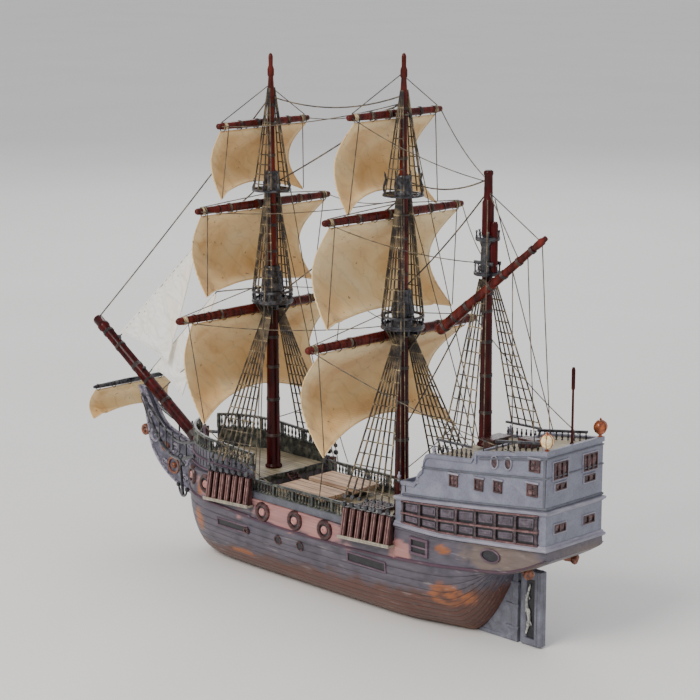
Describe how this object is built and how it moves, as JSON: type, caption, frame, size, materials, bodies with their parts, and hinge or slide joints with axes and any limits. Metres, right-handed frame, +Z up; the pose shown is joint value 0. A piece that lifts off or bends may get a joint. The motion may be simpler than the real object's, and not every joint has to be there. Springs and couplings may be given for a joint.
{
  "type": "model sailing ship",
  "caption": "Decorative three-masted galleon model with square sails, headsails, rigging, stepped stern castle, swinging rudder and yards that brace round their masts.",
  "frame": {"origin": "on the plane of the flat bottom, at the middle of the overall length and on the centre line", "axes": "+X towards the stern, -X towards the bow, +Y starboard, +Z up to the mast tips"},
  "size_m": [0.5754, 0.194, 0.4418],
  "materials": {
    "hull_paint": "weathered slate-blue paint over planking",
    "castle_paint": "worn lavender-grey paint",
    "gallery_paint": "dark frames with rubbed pale panels",
    "keel_paint": "pale blue-grey paint",
    "deck_wood": "pale matte wood",
    "rail_paint": "dark green-black paint with pale rubbed edges",
    "spar_wood": "dark red-brown varnish",
    "top_paint": "satin blue-black paint",
    "sail_cloth": "stiffened cotton, tea-stained cream",
    "jib_cloth": "stiffened off-white cotton",
    "rigging_cord": "waxed dark brown thread",
    "channel_wood": "dark brown paint, drybrushed",
    "lantern_brass": "antique brass"
  },
  "bodies": {
    "ship": {"beakhead": "castle_paint", "bowsprit": "spar_wood", "deadwood": "keel_paint", "figurehead": "lantern_brass", "flagstaff": "spar_wood", "fore_channel_port": "channel_wood", "fore_channel_starboard": "channel_wood", "fore_crosstree": "top_paint", "fore_lower_mast": "spar_wood", "fore_shrouds_port": "rigging_cord", "fore_shrouds_starboard": "rigging_cord", "fore_top": "top_paint", "fore_topmast": "spar_wood", "forecastle_deck": "deck_wood", "forecastle_wall_port": "hull_paint", "forecastle_wall_starboard": "hull_paint", "gallery_port": "gallery_paint", "gallery_starboard": "gallery_paint", "gallery_storey": "castle_paint", "hatch_board_port": "deck_wood", "hatch_board_starboard": "deck_wood", "hull": "hull_paint", "inner_jib": "jib_cloth", "lantern_port": "lantern_brass", "lantern_starboard": "lantern_brass", "main_channel_port": "channel_wood", "main_channel_starboard": "channel_wood", "main_crosstree": "top_paint", "main_lower_mast": "spar_wood", "main_shrouds_port": "rigging_cord", "main_shrouds_starboard": "rigging_cord", "main_top": "top_paint", "main_topmast": "spar_wood", "mizzen_lower_mast": "spar_wood", "mizzen_shrouds_port": "rigging_cord", "mizzen_shrouds_starboard": "rigging_cord", "mizzen_top": "top_paint", "mizzen_topmast": "spar_wood", "outer_jib": "jib_cloth", "poop_house": "castle_paint", "quarter_house": "castle_paint", "spritsail": "sail_cloth", "spritsail_yard": "spar_wood", "waist_deck": "deck_wood", "waist_rail_port": "rail_paint", "waist_rail_starboard": "rail_paint"},
    "rudder": {"rudder": "keel_paint"},
    "lateen": {"lateen_yard": "spar_wood"},
    "fore_course": {"fore_course_yard": "spar_wood", "fore_course_sail": "sail_cloth"},
    "fore_topsail": {"fore_topsail_yard": "spar_wood", "fore_topsail_sail": "sail_cloth"},
    "fore_topgallant": {"fore_topgallant_yard": "spar_wood", "fore_topgallant_sail": "sail_cloth"},
    "main_course": {"main_course_yard": "spar_wood", "main_course_sail": "sail_cloth"},
    "main_topsail": {"main_topsail_yard": "spar_wood", "main_topsail_sail": "sail_cloth"},
    "main_topgallant": {"main_topgallant_yard": "spar_wood", "main_topgallant_sail": "sail_cloth"}
  },
  "joints": [
    {"name": "rudder_swing", "type": "hinge", "parent": "ship", "child": "rudder", "pos_m": [0.2376, 0, 0.03], "axis": [0, 0, 1], "range_deg": [-30, 30]},
    {"name": "fore_course_brace", "type": "hinge", "parent": "ship", "child": "fore_course", "pos_m": [-0.0464, 0, 0.222], "axis": [0, 0, 1], "range_deg": [-5, 5]},
    {"name": "fore_topsail_brace", "type": "hinge", "parent": "ship", "child": "fore_topsail", "pos_m": [-0.0464, 0, 0.3095], "axis": [0, 0, 1], "range_deg": [-5, 5]},
    {"name": "fore_topgallant_brace", "type": "hinge", "parent": "ship", "child": "fore_topgallant", "pos_m": [-0.0464, 0, 0.3765], "axis": [0, 0, 1], "range_deg": [-5, 5]},
    {"name": "main_course_brace", "type": "hinge", "parent": "ship", "child": "main_course", "pos_m": [0.1054, 0, 0.221], "axis": [0, 0, 1], "range_deg": [-8, 8]},
    {"name": "main_topsail_brace", "type": "hinge", "parent": "ship", "child": "main_topsail", "pos_m": [0.1054, 0, 0.317], "axis": [0, 0, 1], "range_deg": [-8, 8]},
    {"name": "main_topgallant_brace", "type": "hinge", "parent": "ship", "child": "main_topgallant", "pos_m": [0.1054, 0, 0.395], "axis": [0, 0, 1], "range_deg": [-8, 8]},
    {"name": "lateen_swing", "type": "hinge", "parent": "ship", "child": "lateen", "pos_m": [0.1941, 0, 0.262], "axis": [0, 0, 1], "range_deg": [-5, 10]}
  ],
  "couplings": [
    {"joint": "fore_topsail_brace", "follows": "fore_course_brace", "ratio": 1},
    {"joint": "fore_topgallant_brace", "follows": "fore_course_brace", "ratio": 1},
    {"joint": "main_topsail_brace", "follows": "main_course_brace", "ratio": 1},
    {"joint": "main_topgallant_brace", "follows": "main_course_brace", "ratio": 1}
  ]
}
